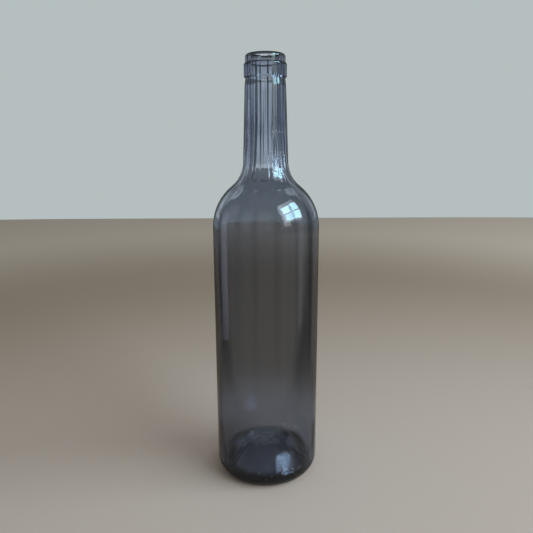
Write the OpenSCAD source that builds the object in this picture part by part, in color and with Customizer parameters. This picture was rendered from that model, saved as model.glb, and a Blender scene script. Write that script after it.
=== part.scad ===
// Antique glass bottle with a cork mouth, long tapered neck, round shoulder and pushed-up base.
// One blown wall, drawn as the zones that its mould forms. Each zone is a closed ring of glass
// that meets the next one on a flat or cylindrical face, with the hollow running through them all.

/* [Bottle] */
// Height from the table to the top of the lip
total_h = 301.5; // [292:0.5:320]
// Diameter of the body
body_d = 75; // [72:0.5:80]
// Thickness of the wall in the body and the shoulder
wall_t = 2.8; // [2.2:0.1:3]
// Thickness of the wall just above the floor
low_wall_t = 3.8; // [3:0.1:4.2]
// Height below which the wall thickens
low_wall_h = 46; // [30:1:60]

/* [Mouth] */
// Diameter of the straight bore that takes the cork
bore_d = 20; // [18:0.5:21]
// Depth of the straight bore, from the top of the lip
bore_depth = 45; // [40:1:50]
// Diameter of the lip
lip_d = 27; // [26:0.2:27.6]
// Height of the lip above the collar
lip_h = 5.5; // [4.5:0.1:7]
// Radius of the lip's outer edge
lip_round = 2.2; // [1.6:0.1:2.4]
// Diameter of the collar
collar_d = 28.8; // [28.4:0.2:30]
// Height of the collar, with the curves above and below it
collar_h = 10.5; // [9:0.5:12]
// Radius of the collar's edges
collar_round = 1.4; // [1:0.1:2]

/* [Neck] */
// Angle of the neck's side from upright
neck_taper = 1.84; // [1:0.02:2.4]
// Depth of the waist where the neck runs under the collar
neck_waist = 0.4; // [0.1:0.1:0.6]
// Height of that waist
neck_waist_h = 6; // [4:0.5:10]

/* [Shoulder] */
// Height at which the body starts to curve in
shoulder_z = 186.1; // [180:0.1:190]
// Radius of the shoulder's round
shoulder_r = 36.7; // [34:0.1:37.2]
// Angle of the wall where the round turns into the neck's sweep
shoulder_turn = 51.6; // [48:0.2:54]
// Radius of the sweep from the shoulder up to the neck
sweep_r = 21.2; // [19:0.1:23]

/* [Base] */
// Radius of the heel where it leaves the body
heel_r = 12; // [11.5:0.5:14]
// Radius of the heel where it meets the foot
foot_r = 5; // [5:0.5:7]
// Angle at which the heel's two radii join
heel_turn = 55; // [54:1:65]
// Width of the flat ring that the bottle stands on
foot_w = 1.5; // [1.4:0.1:2.5]
// Inner radius between the wall and the floor
floor_r = 2.2; // [1.6:0.1:2.4]
// Thickness of the floor at its lowest point
floor_t = 6.5; // [5.5:0.1:7.5]
// Depth of the push-up, from the table to its underside
push_up_h = 16.5; // [14:0.1:18]
// Angle of the push-up's side from level, underneath
push_up_a = 56; // [52:1:60]
// Thickness of the glass at the top of the push-up
push_up_t = 5; // [4:0.1:6]
// Angle of the push-up's side from level, inside the bottle
cap_a = 58; // [54:1:62]

/* [Hidden] */
$fn = 96;
glass = [0.46, 0.51, 0.58, 0.6];
arc_step = 4;                    // angle between two points of an arc
bore_lead = 1.3;                 // radius that leads into the bore
ledge_r = 0.25;                  // hollow radius where the lip stands on the collar
under_r = 0.9;                   // hollow radius where the neck runs into the collar
fold_r = 2.5;                    // radius where the push-up turns out of the foot
cap_r = 18;                      // radius round the top of the push-up, inside the bottle
dome_r = 14;                     // radius round the top of the push-up, underneath
heel_h = 18;                     // height of the heel and the floor inside it

body_r = body_d / 2;
body_in = body_r - wall_t;
low_in = body_r - low_wall_t;
bore_r = bore_d / 2;
lip_r = lip_d / 2;
collar_r = collar_d / 2;
lip_z = total_h - lip_h;         // where the lip stands on the collar
collar_z = lip_z - collar_h;     // where the collar sits on the neck
bore_z = total_h - bore_depth;   // where the straight bore ends

// the shoulder's round and the sweep share one tangent at shoulder_turn
round_c = [body_r - shoulder_r, shoulder_z];
sweep_c = round_c + (shoulder_r + sweep_r) * [cos(shoulder_turn), sin(shoulder_turn)];
neck_foot = sweep_c - sweep_r * [cos(neck_taper), sin(neck_taper)];
// inside, the sweep runs on as the one straight line that ends at the foot of the bore
sweep_in = sweep_r + wall_t;
bore_foot = [bore_r, bore_z];
throat_a = atan2(sweep_c.x - bore_r, bore_z - sweep_c.y) - asin(sweep_in / norm(sweep_c - bore_foot));
throat_r = bore_r + (bore_z - neck_foot.y) * tan(throat_a);
// under the collar the neck draws in by neck_waist
neck_top_r = neck_foot.x - (collar_z - neck_foot.y) * tan(neck_taper);
waist_r = neck_top_r - neck_waist;
waist_z = collar_z - neck_waist_h;

// the heel's small radius lies inside its large one and touches the table
foot_x = body_r - heel_r + (heel_r - foot_r) * cos(heel_turn);
heel_c = [body_r - heel_r, foot_r + (heel_r - foot_r) * sin(heel_turn)];
foot_in = foot_x - foot_w;
floor_c = [low_in - floor_r, floor_t + floor_r];
floor_end = floor_c - floor_r * [sin(cap_a), cos(cap_a)];
seam_z = floor_end.y + (floor_end.x - foot_in) * tan(cap_a);   // where the heel and the push-up meet
cap_z = push_up_h + push_up_t;
fold_c = [foot_in, fold_r];
fold_end = fold_c - fold_r * [sin(push_up_a), cos(push_up_a)];

// points of an arc round c, from angle a to angle b
function arc(c, r, a, b) =
    let (n = max(2, ceil(abs(b - a) / arc_step)))
    [for (i = [0:n]) c + r * [cos(a + (b - a) * i / n), sin(a + (b - a) * i / n)]];

// centre of the round of radius r where a side at angle a, through point p, turns level at height z
function brow_c(p, z, r, a) = [p.x - (z - p.y) / tan(a) - r * tan(a / 2), z - r];

// points that step out by d from the upright face at p, on a hollow arc and a crest that are tangent.
// way is 1 to go up and -1 to go down.
function stepped(p, d, hollow, crest, way = 1) =
    let (turn = acos(1 - d / (hollow + crest)), rise = way * (hollow + crest) * sin(turn))
    concat(
        arc(p + [hollow, 0], hollow, 180, 180 - way * turn),
        arc(p + [d - crest, rise], crest, -way * turn, 0));

function backwards(points) = [for (i = [len(points) - 1:-1:0]) points[i]];

module turned(points) {
    rotate_extrude() polygon(points);
}

// rounded rim round the mouth, with a lead into the bore
module lip() {
    crest = lip_r - lip_round;
    color(glass) turned(concat(
        [[bore_r, lip_z], [lip_r, lip_z]],
        arc([crest, total_h - lip_round], lip_round, 0, 90),
        arc([bore_r + bore_lead, total_h - bore_lead], bore_lead, 90, 180)));
}

// broad band round the neck, rounded into the neck below it and into the lip above it
module collar() {
    color(glass) turned(concat(
        [[bore_r, collar_z]],
        stepped([waist_r, collar_z], collar_r - waist_r, under_r, collar_round),
        backwards(stepped([lip_r, lip_z], collar_r - lip_r, ledge_r, collar_round, -1)),
        [[bore_r, lip_z]]));
}

// slightly conical tube, straight inside as far as the cork reaches and widening below it
module neck() {
    color(glass) turned(concat(
        [neck_foot],
        [for (t = [0:0.25:1]) [neck_top_r + (collar_z - waist_z) * (1 - t) * tan(neck_taper)
            - neck_waist * pow(t, 2), waist_z + (collar_z - waist_z) * t]],
        [[bore_r, collar_z], bore_foot, [throat_r, neck_foot.y]]));
}

// dome of the shoulder and the sweep into the neck, an even wall of two tangent arcs each side
module shoulder() {
    color(glass) turned(concat(
        arc(round_c, shoulder_r, 0, shoulder_turn),
        arc(sweep_c, sweep_r, 180 + shoulder_turn, 180 + neck_taper),
        [[throat_r, neck_foot.y]],
        arc(sweep_c, sweep_in, 180 + throat_a, 180 + shoulder_turn),
        arc(round_c, shoulder_r - wall_t, shoulder_turn, 0)));
}

// straight cylindrical wall, thicker inside towards the floor
module body() {
    color(glass) turned([
        [low_in, heel_h], [body_r, heel_h], [body_r, shoulder_z], [body_in, shoulder_z], [body_in, low_wall_h]]);
}

// rounded edge of the base, the ring it stands on and the outer edge of the floor
module heel() {
    color(glass) turned(concat(
        [[foot_in, 0]],
        arc([foot_x, foot_r], foot_r, -90, -heel_turn),
        arc(heel_c, heel_r, -heel_turn, 0),
        [[body_r, heel_h], [low_in, heel_h]],
        arc(floor_c, floor_r, 0, -90 - cap_a),
        [[foot_in, seam_z]]));
}

// round-shouldered dome with a level top, pushed up into the base and hollow underneath
module push_up() {
    color(glass) turned(concat(
        [[0, push_up_h]],
        arc(brow_c(fold_end, push_up_h, dome_r, push_up_a), dome_r, 90, 90 - push_up_a),
        arc(fold_c, fold_r, -90 - push_up_a, -90),
        [[foot_in, seam_z]],
        arc(brow_c(floor_end, cap_z, cap_r, cap_a), cap_r, 90 - cap_a, 90),
        [[0, cap_z]]));
}

lip();
collar();
neck();
shoulder();
body();
heel();
push_up();
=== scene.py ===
import math

import bmesh
import bpy
from mathutils import Matrix, Vector, noise


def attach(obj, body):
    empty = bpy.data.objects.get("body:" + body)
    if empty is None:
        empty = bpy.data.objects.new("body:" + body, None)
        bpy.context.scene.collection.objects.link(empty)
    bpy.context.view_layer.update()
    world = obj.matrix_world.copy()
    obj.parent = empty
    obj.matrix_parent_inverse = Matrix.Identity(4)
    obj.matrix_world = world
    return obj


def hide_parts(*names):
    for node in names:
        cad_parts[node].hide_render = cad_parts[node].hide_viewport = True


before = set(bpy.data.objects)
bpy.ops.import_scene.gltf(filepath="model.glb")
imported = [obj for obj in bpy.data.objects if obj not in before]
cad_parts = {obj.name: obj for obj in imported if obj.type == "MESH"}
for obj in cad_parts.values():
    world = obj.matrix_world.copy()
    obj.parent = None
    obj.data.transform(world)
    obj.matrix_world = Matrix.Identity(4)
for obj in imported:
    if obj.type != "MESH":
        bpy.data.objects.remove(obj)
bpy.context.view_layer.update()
mm = 0.001
print("frame loaded:", len(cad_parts), "nodes")


# shader nodes, written as expressions

class Wire:  # one output of a node; sums on it add Math nodes
    def __init__(self, sheet, output):
        self.sheet = sheet
        self.output = output

    def math(self, operation, first, second):
        return self.sheet.node("Math", {"operation": operation}, {0: first, 1: second})

    def __add__(self, other):
        return self.math("ADD", self, other)

    def __radd__(self, other):
        return self.math("ADD", other, self)

    def __sub__(self, other):
        return self.math("SUBTRACT", self, other)

    def __rsub__(self, other):
        return self.math("SUBTRACT", other, self)

    def __mul__(self, other):
        return self.math("MULTIPLY", self, other)

    def __rmul__(self, other):
        return self.math("MULTIPLY", other, self)


class Sheet:  # the node tree of one material, or of the world
    def __init__(self, tree):
        self.tree = tree
        tree.nodes.clear()

    def node(self, kind, settings=None, sockets=None, output=0):
        made = self.tree.nodes.new("ShaderNode" + kind)
        for name, value in (settings or {}).items():
            setattr(made, name, value)
        for name, value in (sockets or {}).items():
            if isinstance(value, Wire):
                self.tree.links.new(value.output, made.inputs[name])
            else:
                made.inputs[name].default_value = value
        return Wire(self, made.outputs[output])

    def close(self, surface, volume=None, kind="Material"):
        out = self.tree.nodes.new("ShaderNodeOutput" + kind)
        self.tree.links.new(surface.output, out.inputs["Surface"])
        if volume:
            self.tree.links.new(volume.output, out.inputs["Volume"])

    def mask(self, value, low, high):  # 0 below low, 1 above high, smooth between
        ranges = {"From Min": low, "From Max": high, "To Min": 0, "To Max": 1}
        return self.node("MapRange", {"interpolation_type": "SMOOTHSTEP"}, {"Value": value, **ranges})

    def mix(self, share, first, second):  # the first colour at 0, the second at 1
        colours = [c if isinstance(c, Wire) else (*c, 1) for c in (first, second)]
        return self.node("Mix", {"data_type": "RGBA"}, {0: share, 6: colours[0], 7: colours[1]}, output=2)

    def zone(self, value, edges):  # 1 between the middle two edges, 0 outside the outer two
        return self.mask(value, edges[0], edges[1]) * (1 - self.mask(value, edges[2], edges[3]))


def newMaterial(name):
    material = bpy.data.materials.new(name)
    material.use_nodes = True
    return material, Sheet(material.node_tree)


def seen(red, green, blue):  # a colour as a screen shows it, 0 to 255, in the values that sockets take
    shades = [c / 255 for c in (red, green, blue)]
    return tuple(s / 12.92 if s <= 0.04045 else ((s + 0.055) / 1.055) ** 2.4 for s in shades)


# the bottle's outline, drawn with the tip of a pen in the plane y = 0

bottle = {
    "height": 301.5, "bodyRadius": 37.5, "wall": 2.8,
    "boreRadius": 10, "boreDepth": 45, "boreLead": 1.3,
    "lipRadius": 13.5, "lipHeight": 5.5, "lipRound": 2.2,
    "collarRadius": 14.4, "collarHeight": 10.5, "collarRound": 1.4, "ledgeCurve": 0.25, "neckCurve": 0.9,
    "neckTaper": 1.84, "waist": 0.4, "waistHeight": 6,
    "shoulderHeight": 186.1, "shoulderRadius": 36.7, "shoulderTurn": 51.6, "sweepRadius": 21.2,
    "heelRadius": 12, "footRadius": 5, "heelTurn": 55, "footWidth": 1.5, "heelHeight": 18,
    "lowWall": 3.8, "lowWallHeight": 46, "floorRadius": 2.2, "floorThickness": 6.5,
    "pushUp": 16.5, "pushUpAngle": 56, "foldRadius": 2.5, "domeRadius": 14,
    "pushUpGlass": 5, "capAngle": 58, "capRadius": 18,
    "arcStep": 6, "aroundSteps": 360, "wedges": 8,
}


def polar(centre, radius, angle):
    turn = math.radians(angle)
    return (centre[0] + radius * math.cos(turn), centre[1] + radius * math.sin(turn))


class Pen:
    def __init__(self, mesh, start):
        self.mesh = mesh
        self.inner = mesh.verts.layers.float.new("inner")
        self.tip = mesh.verts.new((start[0] * mm, 0, start[1] * mm))
        self.isInner = 0

    def line(self, point, pieces=1):
        start = self.tip.co.copy()
        end = Vector((point[0] * mm, 0, point[1] * mm))
        for i in range(pieces):
            grown = bmesh.ops.extrude_vert_indiv(self.mesh, verts=[self.tip])
            self.tip = grown["verts"][0]
            self.tip.co = start.lerp(end, (i + 1) / pieces)
            self.tip[self.inner] = self.isInner

    def arc(self, centre, radius, start, end):
        self.line(polar(centre, radius, start))
        steps = max(2, math.ceil(abs(end - start) / bottle["arcStep"]))
        turned = bmesh.ops.spin(
            self.mesh, geom=[self.tip], cent=(centre[0] * mm, 0, centre[1] * mm), axis=(0, -1, 0),
            angle=math.radians(end - start), steps=steps)
        self.tip = next(v for v in turned["geom_last"] if isinstance(v, bmesh.types.BMVert))


def sideNormal(angle):  # of a side that rises at this angle from level, facing the axis
    return Vector((math.sin(math.radians(angle)), math.cos(math.radians(angle))))


def browCentre(point, angle, height, radius):  # where a side through the point turns level at that height
    side = math.radians(angle)
    return (point[0] - (height - point[1]) / math.tan(side) - radius * math.tan(side / 2), height - radius)


def drawStep(pen, start, end, hollow, crest):  # a tangent pair of arcs between two upright faces
    out = 1 if end[0] > start[0] else -1
    turn = math.degrees(math.acos(1 - abs(end[0] - start[0]) / (hollow + crest)))
    rise = (hollow + crest) * math.sin(math.radians(turn))
    if out > 0:
        pen.arc((start[0] + hollow, start[1]), hollow, 180, 180 - turn)
        pen.arc((end[0] - crest, start[1] + rise), crest, -turn, 0)
    else:
        pen.arc((start[0] - crest, end[1] - rise), crest, 0, turn)
        pen.arc((end[0] + hollow, end[1]), hollow, 180 + turn, 180)


def drawWall(mesh):
    b = bottle
    heelX = b["bodyRadius"] - b["heelRadius"]
    heelTurn = math.radians(b["heelTurn"])
    footX = heelX + (b["heelRadius"] - b["footRadius"]) * math.cos(heelTurn)
    heelZ = b["footRadius"] + (b["heelRadius"] - b["footRadius"]) * math.sin(heelTurn)
    heelCentre = (heelX, heelZ)
    foldCentre = Vector((footX - b["footWidth"], b["foldRadius"]))
    lowRadius = b["bodyRadius"] - b["lowWall"]
    floorCentre = Vector((lowRadius - b["floorRadius"], b["floorThickness"] + b["floorRadius"]))
    roundCentre = Vector((b["bodyRadius"] - b["shoulderRadius"], b["shoulderHeight"]))
    sweepCentre = Vector(polar(roundCentre, b["shoulderRadius"] + b["sweepRadius"], b["shoulderTurn"]))
    neckFoot = polar(sweepCentre, -b["sweepRadius"], b["neckTaper"])
    lipZ = b["height"] - b["lipHeight"]
    collarZ = lipZ - b["collarHeight"]
    taper = math.tan(math.radians(b["neckTaper"]))
    neckTop = neckFoot[0] - (collarZ - neckFoot[1]) * taper
    waistZ = collarZ - b["waistHeight"]
    boreFoot = Vector((b["boreRadius"], b["height"] - b["boreDepth"]))
    sweepInner = b["sweepRadius"] + b["wall"]
    toBore = boreFoot - sweepCentre
    throat = math.degrees(math.atan2(-toBore.x, toBore.y) - math.asin(sweepInner / toBore.length))

    pen = Pen(mesh, (0, b["pushUp"]))
    foldStart = foldCentre - b["foldRadius"] * sideNormal(b["pushUpAngle"])
    dome = browCentre(foldStart, b["pushUpAngle"], b["pushUp"], b["domeRadius"])
    pen.line((dome[0], b["pushUp"]), 3)
    pen.arc(dome, b["domeRadius"], 90, 90 - b["pushUpAngle"])
    pen.line(foldStart, 4)
    pen.arc(foldCentre, b["foldRadius"], -90 - b["pushUpAngle"], -90)
    pen.arc((footX, b["footRadius"]), b["footRadius"], -90, -b["heelTurn"])
    pen.arc(heelCentre, b["heelRadius"], -b["heelTurn"], 0)
    pen.line((b["bodyRadius"], b["shoulderHeight"]), 24)
    pen.arc(roundCentre, b["shoulderRadius"], 0, b["shoulderTurn"])
    pen.arc(sweepCentre, b["sweepRadius"], 180 + b["shoulderTurn"], 180 + b["neckTaper"])
    pen.line((neckTop + b["waistHeight"] * taper, waistZ), 8)
    for share in (0.25, 0.5, 0.75, 1):
        radius = neckTop + b["waistHeight"] * (1 - share) * taper - b["waist"] * share ** 2
        pen.line((radius, waistZ + b["waistHeight"] * share))
    drawStep(pen, (neckTop - b["waist"], collarZ), (b["collarRadius"], 0), b["neckCurve"], b["collarRound"])
    drawStep(pen, (b["collarRadius"], 0), (b["lipRadius"], lipZ), b["ledgeCurve"], b["collarRound"])
    pen.arc((b["lipRadius"] - b["lipRound"], b["height"] - b["lipRound"]), b["lipRound"], 0, 90)
    pen.arc((b["boreRadius"] + b["boreLead"], b["height"] - b["boreLead"]), b["boreLead"], 90, 180)
    pen.isInner = 1
    pen.line(boreFoot, 9)
    pen.line(polar(sweepCentre, -sweepInner, throat), 5)
    pen.arc(sweepCentre, sweepInner, 180 + throat, 180 + b["shoulderTurn"])
    pen.arc(roundCentre, b["shoulderRadius"] - b["wall"], b["shoulderTurn"], 0)
    pen.line((b["bodyRadius"] - b["wall"], b["lowWallHeight"]), 20)
    pen.line((lowRadius, b["heelHeight"]), 6)
    pen.line((lowRadius, floorCentre[1]), 3)
    pen.arc(floorCentre, b["floorRadius"], 0, -90 - b["capAngle"])
    capZ = b["pushUp"] + b["pushUpGlass"]
    floorEnd = floorCentre - b["floorRadius"] * sideNormal(b["capAngle"])
    cap = browCentre(floorEnd, b["capAngle"], capZ, b["capRadius"])
    pen.line(polar(cap, b["capRadius"], 90 - b["capAngle"]), 2)
    pen.arc(cap, b["capRadius"], 90 - b["capAngle"], 90)
    pen.line((0, capZ), 3)


# what a mould and a moving gob of glass leave in the wall, all in millimetres

ripples = {
    "neckDepth": 0.30, "neckTurns": 2.3, "neckRise": 60, "rimDepth": 0.25, "rimTurns": 1.6,
    "rimRise": 2.5, "gathered": 0.6,
    "fineDepth": 0.30, "fineTurns": 7.0, "fineRise": 90,
    "bodyDepth": 0.22, "bodyTurns": 1.1, "bodyRise": 70,
    "bandDepth": 0.05, "bandTurns": 4.5, "bandRise": 55,
    "skinDepth": 0.035, "skinTurns": 3.5, "skinRise": 30,
    "baseDepth": 0.35, "baseSize": 11, "underShare": 0.4, "crinkleDepth": 0.2, "crinkleSize": 2.6,
    "knurlDepth": 0.3, "knurlRibs": 72,
    "seamHeight": 0.07, "seamWidth": 0.5, "seamTurn": 4,
}


zones = {  # where each starts, is full, starts to fade and ends: heights, and radii for the ring
    "neck": (203, 228, 292, 301), "rim": (288, 294, 299.5, 301), "gathered": (220, 236, 236, 256),
    "body": (14, 40, 203, 228), "skin": (4, 14, 280, 286), "seam": (2, 8, 297, 300),
    "ring": (26.5, 28, 31, 33.5),
}


def ease(value, low, high):
    share = min(1, max(0, (value - low) / (high - low)))
    return share * share * (3 - 2 * share)


def within(value, name):
    starts, full, fades, ends = zones[name]
    return ease(value, starts, full) * (1 - ease(value, fades, ends))


def wave(around, height, turns, rise, seed):
    place = (math.cos(around) * turns + seed, math.sin(around) * turns, height / rise)
    return noise.noise(Vector(place))


def bend(x, y, z, isInner):  # how far the wall's face stands out of its drawn place
    r = ripples
    around = math.atan2(y, x)
    radius = math.hypot(x, y)
    out = 0
    if isInner:
        neck = within(z, "neck")
        body = within(z, "body")
        base = 1 - ease(z, 12, 30)
        out += neck * r["neckDepth"] * wave(around, z, r["neckTurns"], r["neckRise"], 3)
        out += within(z, "gathered") * r["gathered"]  # glass gathers below the cork's bore
        out += within(z, "rim") * r["rimDepth"] * wave(around, z, r["rimTurns"], r["rimRise"], 23)
        out += neck * r["fineDepth"] * wave(around, z, r["fineTurns"], r["fineRise"], 11)
        out += body * r["bodyDepth"] * wave(around, z, r["bodyTurns"], r["bodyRise"], 5)
        out += body * r["bandDepth"] * wave(around, z, r["bandTurns"], r["bandRise"], 8)
        out += base * r["baseDepth"] * noise.noise(Vector((x, y, z)) / r["baseSize"])
        out += base * r["crinkleDepth"] * noise.noise(Vector((x, y, z * 0.5)) / r["crinkleSize"])
        return out
    out += within(z, "skin") * r["skinDepth"] * wave(around, z, r["skinTurns"], r["skinRise"], 17)
    if radius > 24 and z < 5:
        ring = within(radius, "ring") * (1 - ease(z, 0.6, 2))
        out -= ring * r["knurlDepth"] * (0.5 - 0.5 * math.cos(around * r["knurlRibs"]))
    if radius < 27 and z < 25:
        lump = noise.noise(Vector((x, y, 40)) / r["baseSize"])
        out += ease(27 - radius, 0, 4) * r["baseDepth"] * r["underShare"] * lump
    if z > 2:
        turned = around - math.radians(r["seamTurn"])
        off = math.asin(math.sin(turned)) * radius
        out += within(z, "seam") * r["seamHeight"] * math.exp(-(off / r["seamWidth"]) ** 2)
    return out


def shapeWall(mesh, inner):
    mesh.normal_update()
    moves = [v.normal * bend(*(v.co / mm), v[inner] > 0.5) * mm for v in mesh.verts]
    for vert, move in zip(mesh.verts, moves):
        vert.co += move


def makeBottle():
    mesh = bmesh.new()
    drawWall(mesh)
    bmesh.ops.remove_doubles(mesh, verts=mesh.verts[:], dist=0.005 * mm)
    print("outline:", len(mesh.verts), "points")
    wedge = bottle["aroundSteps"] // bottle["wedges"]
    bmesh.ops.spin(  # one wedge of the turn, then its copies all the way round
        mesh, geom=mesh.verts[:] + mesh.edges[:], cent=(0, 0, 0), axis=(0, 0, 1),
        angle=math.tau / bottle["wedges"], steps=wedge)
    bmesh.ops.spin(
        mesh, geom=mesh.verts[:] + mesh.edges[:] + mesh.faces[:], cent=(0, 0, 0), axis=(0, 0, 1),
        angle=math.tau * (1 - 1 / bottle["wedges"]), steps=bottle["wedges"] - 1, use_duplicate=True)
    bmesh.ops.remove_doubles(mesh, verts=mesh.verts[:], dist=0.005 * mm)
    bmesh.ops.recalc_face_normals(mesh, faces=mesh.faces[:])
    shapeWall(mesh, mesh.verts.layers.float["inner"])
    for face in mesh.faces:
        face.smooth = True
    return mesh


def addPiece(name, mesh):
    data = bpy.data.meshes.new(name)
    mesh.to_mesh(data)
    mesh.free()
    piece = bpy.data.objects.new(name, data)
    bpy.context.scene.collection.objects.link(piece)
    return piece


glassPiece = addPiece("bottle_glass", makeBottle())
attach(glassPiece, "root")
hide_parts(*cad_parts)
print("glass:", len(glassPiece.data.polygons), "faces")


# smoky glass

glass = {
    "density": 1000, "absorbs": (0.85, 0.867, 0.902), "ior": 1.52,
    # the heel's near-black tint is painted shade, standing in for the shade under and around the bottle's
    # foot
    "shadowTint": (0.93, 0.81, 0.66), "heelShade": (0.06, 0.06, 0.05), "mouthTint": (0.7, 0.71, 0.71),
    "film": 0.05, "scuffed": 0.34, "lineHaze": 0.12, "mouthHaze": 0.16, "shoulderShare": 0.6,
    "skinBump": 0.05, "moldBump": 0.35, "seedSize": 0.34, "seedShare": 0.82, "seedScale": 62,
    "heelRub": (0.004, 0.009, 0.013, 0.022), "shoulderRub": (0.168, 0.178, 0.184, 0.192),
}


def rays(sheet, kind):
    return sheet.node("LightPath", output=f"Is {kind} Ray")


def mirrored(sheet):  # a ray refracted in glass is glossy as well, so this leaves only mirrored ones
    return rays(sheet, "Glossy") * (1 - rays(sheet, "Transmission"))


def smokyGlass():
    material, sheet = newMaterial("smoky_glass")
    place = sheet.node("TexCoord", output="Object")
    x = sheet.node("SeparateXYZ", sockets={0: place}, output="X")
    y = sheet.node("SeparateXYZ", sockets={0: place}, output="Y")
    z = sheet.node("SeparateXYZ", sockets={0: place}, output="Z")
    radius = sheet.node("Math", {"operation": "SQRT"}, {0: x * x + y * y})
    outside = sheet.mask(radius, 0.0354, 0.0362)

    def cloud(scale, detail=2, stretch=(1, 1, 1)):
        spread = sheet.node("Mapping", sockets={"Vector": place, "Scale": stretch})
        looks = {"Vector": spread, "Scale": scale, "Detail": detail}
        return sheet.node("TexNoise", sockets=looks, output="Fac")

    heelRub = sheet.zone(z, glass["heelRub"])  # where bottles knock together
    shoulderRub = sheet.zone(z, glass["shoulderRub"]) * glass["shoulderShare"]
    knocks = sheet.mask(cloud(900, 3, (1, 1, 0.35)), 0.60, 0.72) * outside * (heelRub + shoulderRub)
    lines = sheet.mask(cloud(520, 2, (1, 1, 14)), 0.64, 0.74) * outside * sheet.mask(cloud(24), 0.5, 0.62)
    foot = (1 - sheet.mask(z, 0.0004, 0.0035)) * sheet.mask(radius, 0.0262, 0.0275)
    heel = (1 - sheet.mask(z, 0.006, 0.0125)) * sheet.mask(radius, 0.0225, 0.0245)
    mouth = sheet.mask(z, 0.2955, 0.3) * (0.6 + 0.4 * cloud(300, 3))
    film = sheet.mask(cloud(31, 4), 0.38, 0.72) * glass["film"]
    mouthDust = sheet.mask(z, 0.2965, 0.3005) * sheet.mask(cloud(420, 3), 0.42, 0.7) * glass["mouthHaze"]
    roughness = film + mouthDust + (knocks + foot) * glass["scuffed"] + lines * glass["lineHaze"]

    underneath = (1 - sheet.mask(z, 0.024, 0.03)) * (1 - sheet.mask(radius, 0.030, 0.034))
    mold = cloud(260, 3) * underneath * glass["moldBump"]
    skin = (cloud(70, 1) + cloud(650, 1) * 0.12) * glass["skinBump"]
    dots = {"feature": "F1", "voronoi_dimensions": "3D"}
    where = sheet.node("Mapping", sockets={"Vector": place, "Scale": (1, 1, 0.6)})
    cells = {"Vector": where, "Scale": glass["seedScale"]}
    near = sheet.node("TexVoronoi", dots, cells, output="Distance")
    pick = sheet.node("TexVoronoi", dots, cells, output="Color")
    share = glass["seedShare"]
    chosen = sheet.mask(sheet.node("SeparateColor", sockets={0: pick}), share, share + 0.01)
    seeds = (1 - sheet.mask(near, 0.012, 0.055)) * chosen * glass["seedSize"]
    relief = sheet.node("Bump", sockets={
        "Height": skin + mold + seeds + knocks * 0.05, "Strength": 1, "Distance": 0.0012}, output="Normal")

    # painted shade: the glass at the heel is tinted nearly black where the bottle's own shade falls
    shadedHeel = sheet.mix(heel, (1, 1, 1), glass["heelShade"])
    tinted = sheet.mix(mouth, shadedHeel, glass["mouthTint"])
    surface = sheet.node("BsdfPrincipled", sockets={
        "Base Color": tinted, "Roughness": roughness, "IOR": glass["ior"], "Transmission Weight": 1,
        "Normal": relief})
    passing = sheet.node("BsdfTransparent", sockets={"Color": (*glass["shadowTint"], 1)})
    clear = sheet.node("MixShader", sockets={0: rays(sheet, "Shadow"), 1: surface, 2: passing})
    absorption = sheet.node("VolumeAbsorption", sockets={
        "Color": (*glass["absorbs"], 1), "Density": glass["density"]})
    sheet.close(clear, absorption)
    return material


glassPiece.data.materials.append(smokyGlass())


# stage, lamps and camera

studio = {
    # the floor's colours paint light and shade: lighter near the light's spot and near the bottle, darker
    # farther off, lighter again towards the edge, and lighter under the bottle where it is seen through the
    # glass
    "floorRadius": 1.466, "corner": 6, "floorNear": seen(176, 171, 166), "floorFar": seen(136, 127, 114),
    "floorEdge": seen(174, 169, 160), "hollowPaintedLight": seen(222, 218, 213),
    "nearEnds": 0.07, "farStarts": 0.2, "farEnds": 0.6, "edgeStarts": 1.2,
    "lightSpot": (0.15, -0.4, 0), "shownFade": 0.9,
    "backdrop": seen(182, 191, 191), "wallGlow": (0.90, 0.95, 0.91), "ceiling": seen(40, 44, 48),
    "risingFrom": 0.44, "risingTo": 0.75, "bandEdges": (0.045, 0.08, 0.11, 0.14),
    "flats": 8, "gapFrom": -0.3, "gapSpread": 0.5, "gapSeen": 0.4, "gapMirrored": 0.3, "gapFloor": 1.15,
    "mirrorDim": 0.5, "floorDim": 0.39, "lowDim": 0.47, "bandDim": 0.32, "ambient": (0.36, 0.34, 0.31),
}
lamps = {  # azimuth, elevation, distance, width, height, power, colour, aim height, spread
    "key": (67, 34, 2.6, 2.4, 1.8, 84, (0.97, 0.99, 1), 0.1, 180),
    "window": (67, 28.5, 1.3, 0.92, 0.66, 5.6, (0.45, 0.86, 1), 0.25, 180),
    "reveal": (47, 26, 1.35, 0.44, 1.1, 3, (0.85, 0.97, 0.95), 0.25, 180),
    "leftStrip": (-98, 0, 0.30, 0.12, 0.30, 0.0125, (0.72, 0.78, 1), 0.157, 60),
    "rightStrip": (76, 0, 0.36, 0.08, 0.28, 0.004, (0.8, 0.85, 1), 0.147, 60),
}
panes = {(-1, 1): 1.0, (1, 1): 0.8, (-1, -1): 0.7, (1, -1): 0.95}  # how bright each pane of the window is
paneSize = 0.46  # share of the window's width and height
paneShift = 0.27  # how far a pane's centre stands from the window's, as a share of its width and height
view = {  # metres, degrees, the roll in radians and the shift in shares of the picture
    "place": (0.00012, -0.3759, 0.2413), "tilt": 77.34, "roll": -0.0042,
    "lens": 36, "sensor": 36, "shift": 0.17 / 533,
}


def flatsRound(sheet, x, y):  # 1 in the middle of each pale flat round the bottle, -1 halfway between two
    around = sheet.node("Math", {"operation": "ARCTAN2"}, {0: x, 1: y})
    drift = sheet.node("Math", {"operation": "SINE"}, {0: around * 3 + 0.7}) * studio["gapSpread"]
    return sheet.node("Math", {"operation": "COSINE"}, {0: around * studio["flats"] + drift})


def gapsIn(sheet, flats):  # how much the soft dark gaps between the flats take away
    seenIn = mirrored(sheet) * studio["gapMirrored"] + rays(sheet, "Transmission") * studio["gapSeen"]
    return sheet.mask(flats, studio["gapFrom"], -1) * seenIn


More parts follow.
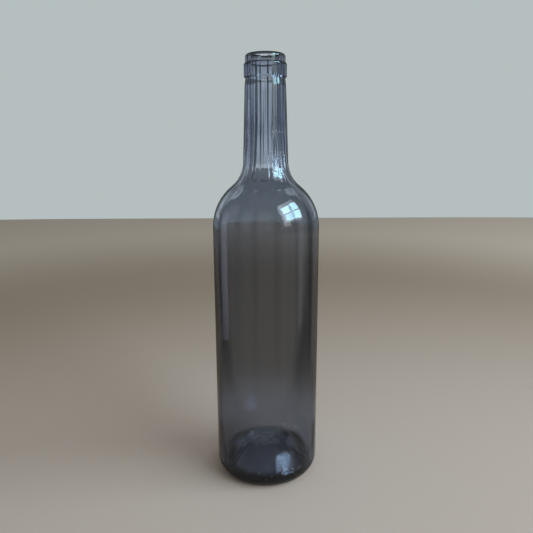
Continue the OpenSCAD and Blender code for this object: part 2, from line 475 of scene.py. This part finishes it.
def makeFloor():
    mesh = bmesh.new()
    bmesh.ops.create_circle(mesh, cap_ends=True, segments=192, radius=studio["floorRadius"])
    corner = studio["corner"]
    for vert in mesh.verts:  # a square table with round corners
        reach = (abs(vert.co.x) ** corner + abs(vert.co.y) ** corner) ** (1 / corner)
        vert.co *= studio["floorRadius"] / reach
    floor = addPiece("studio_floor", mesh)
    material, sheet = newMaterial("studio_floor")
    place = sheet.node("TexCoord", output="Object")
    x = sheet.node("SeparateXYZ", sockets={0: place}, output="X")
    y = sheet.node("SeparateXYZ", sockets={0: place}, output="Y")
    distance = sheet.node("VectorMath", {"operation": "LENGTH"}, {0: place}, output="Value")
    camera = rays(sheet, "Camera")
    spot = {0: place, 1: studio["lightSpot"]}
    away = sheet.node("VectorMath", {"operation": "DISTANCE"}, spot, output="Value")
    # painted pool of light: to the camera the floor darkens from the near colour towards the far colour away
    # from the light's spot
    paintedPool = sheet.mask(away, 0.3, 1.0) * studio["shownFade"] * camera
    # painted shade: in the glass the floor darkens from the near colour to the far colour away from the
    # bottle
    near = sheet.mask(distance, studio["nearEnds"], studio["farStarts"]) * (1 - camera) + paintedPool
    atEdge = sheet.mask(distance, studio["farEnds"], studio["edgeStarts"])
    far = sheet.mix(atEdge, studio["floorFar"], studio["floorEdge"])
    # painted light: seen through the glass, the floor under the bottle is painted lighter where the bottle's
    # shade lies
    hollowLit = (1 - sheet.mask(distance, 0.03, 0.042)) * rays(sheet, "Transmission")
    close = sheet.mix(hollowLit, studio["floorNear"], studio["hollowPaintedLight"])
    paintedFalloff = sheet.mix(near, close, far)
    gap = gapsIn(sheet, flatsRound(sheet, x, y)) * sheet.mask(distance, 0.045, 0.3) * studio["gapFloor"]
    colour = sheet.mix(gap + rays(sheet, "Glossy") * studio["floorDim"], paintedFalloff, (0, 0, 0))
    cloth = {"Base Color": colour, "Roughness": 0.9, "Specular IOR Level": 0.2}
    surface = sheet.node("BsdfPrincipled", sockets=cloth)
    clear = sheet.node("BsdfTransparent")
    beyond = sheet.mask(distance, 1.3, 1.46) * rays(sheet, "Transmission")
    sheet.close(sheet.node("MixShader", sockets={0: beyond, 1: surface, 2: clear}))
    floor.data.materials.append(material)


def makeWorld():
    world = bpy.data.worlds.new("studio")
    bpy.context.scene.world = world
    world.use_nodes = True
    sheet = Sheet(world.node_tree)
    direction = sheet.node("TexCoord", output="Generated")
    x = sheet.node("SeparateXYZ", sockets={0: direction}, output="X")
    y = sheet.node("SeparateXYZ", sockets={0: direction}, output="Y")
    z = sheet.node("SeparateXYZ", sockets={0: direction}, output="Z")
    swing = flatsRound(sheet, x, y)
    band = sheet.zone(z, studio["bandEdges"])
    lit = sheet.mask(z, -0.006, 0.014) * (1 - band * studio["bandDim"])
    bright = lit * (0.1 + 0.9 * sheet.mask(swing, -0.8, 0.8)) * rays(sheet, "Transmission")
    low = (rays(sheet, "Transmission") - bright) * studio["lowDim"]
    dim = gapsIn(sheet, swing) + mirrored(sheet) * studio["mirrorDim"] + low
    wall = sheet.mix(bright, studio["backdrop"], studio["wallGlow"])
    seenWall = sheet.mix(dim, wall, (0, 0, 0))
    rising = sheet.mask(z, studio["risingFrom"], studio["risingTo"])
    room = sheet.mix(rising, seenWall, studio["ceiling"])
    shown = rays(sheet, "Camera") + rays(sheet, "Glossy") + rays(sheet, "Transmission")
    colour = sheet.mix(shown, studio["ambient"], room)
    background = sheet.node("Background", sockets={"Color": colour, "Strength": 1})
    sheet.close(background, kind="World")


def addLamp(name, values, shift=(0, 0)):
    azimuth, elevation, distance, width, height, power, colour, aimHeight, spread = values
    a = math.radians(azimuth)
    e = math.radians(elevation)
    away = Vector((math.sin(a) * math.cos(e), -math.cos(a) * math.cos(e), math.sin(e)))
    turn = away.to_track_quat("Z", "Y")
    data = bpy.data.lights.new(name, "AREA")
    data.shape = "RECTANGLE"
    data.size = width
    data.size_y = height
    data.energy = power
    data.color = colour
    data.spread = math.radians(spread)
    lamp = bpy.data.objects.new(name, data)
    lamp.location = Vector((0, 0, aimHeight)) + away * distance + turn @ Vector((*shift, 0))
    lamp.rotation_euler = turn.to_euler()
    lamp.visible_camera = False
    bpy.context.scene.collection.objects.link(lamp)
    return lamp


def makeLamps():
    key = addLamp("key", lamps["key"])  # lights the floor, while the window and the strips show in the glass
    key.visible_glossy = False
    azimuth, elevation, distance, width, height, power, *rest = lamps["window"]
    for (column, row), share in panes.items():
        size = (width * paneSize, height * paneSize)
        shift = (column * width * paneShift, row * height * paneShift)
        values = (azimuth, elevation, distance, *size, power * share, *rest)
        pane = addLamp(f"window_{column}_{row}", values, shift)
        pane.visible_diffuse = False
    addLamp("reveal", lamps["reveal"]).visible_diffuse = False
    for name in ("leftStrip", "rightStrip"):
        strip = addLamp(name, lamps[name])
        strip.visible_diffuse = False
        strip.visible_transmission = False


def makeCamera():
    data = bpy.data.cameras.new("camera")
    data.sensor_width = view["sensor"]
    data.lens = view["lens"]
    camera = bpy.data.objects.new("camera", data)
    camera.location = view["place"]
    turn = Matrix.Rotation(math.radians(view["tilt"]), 3, "X") @ Matrix.Rotation(view["roll"], 3, "Z")
    camera.rotation_euler = turn.to_euler()
    data.shift_x = view["shift"]
    bpy.context.scene.collection.objects.link(camera)
    bpy.context.scene.camera = camera


makeFloor()
makeWorld()
makeLamps()
makeCamera()
scene = bpy.context.scene
scene.view_settings.view_transform = "Standard"
scene.cycles.max_bounces = 24
scene.cycles.transmission_bounces = 24
scene.cycles.glossy_bounces = 12
scene.cycles.transparent_max_bounces = 16
print("stage, lamps and camera made")
